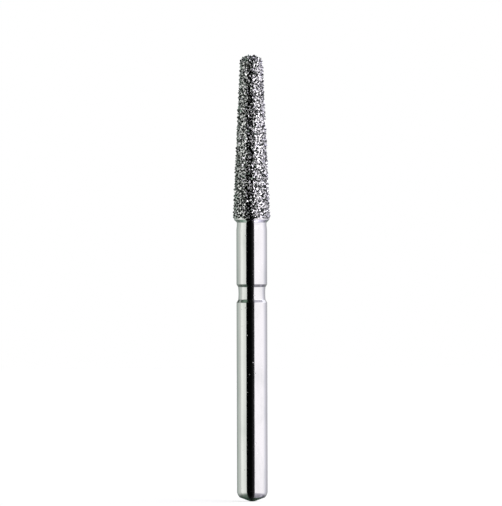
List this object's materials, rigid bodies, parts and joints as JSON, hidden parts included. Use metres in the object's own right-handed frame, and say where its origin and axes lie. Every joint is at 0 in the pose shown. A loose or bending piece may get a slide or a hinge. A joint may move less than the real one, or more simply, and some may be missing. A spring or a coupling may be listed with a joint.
{
  "type": "dental bur",
  "caption": "Slender round-ended tapered grinding bur: turned steel shank with a groove and a diamond-grit head for a high-speed dental handpiece.",
  "frame": {"origin": "on the axis, at the small flat on the shank's end", "axes": "+Z along the axis from the shank to the head's tip; X and Y are square to it and alike, because the form is turned"},
  "size_m": [0.002, 0.002, 0.0233],
  "materials": {
    "ground_steel": "polished",
    "plated_nickel": "satin",
    "diamond_grit": "satin"
  },
  "bodies": {
    "root": {"steel_blank": "ground_steel", "nickel_bond": "plated_nickel", "diamond_crystals": "diamond_grit"}
  },
  "joints": []
}
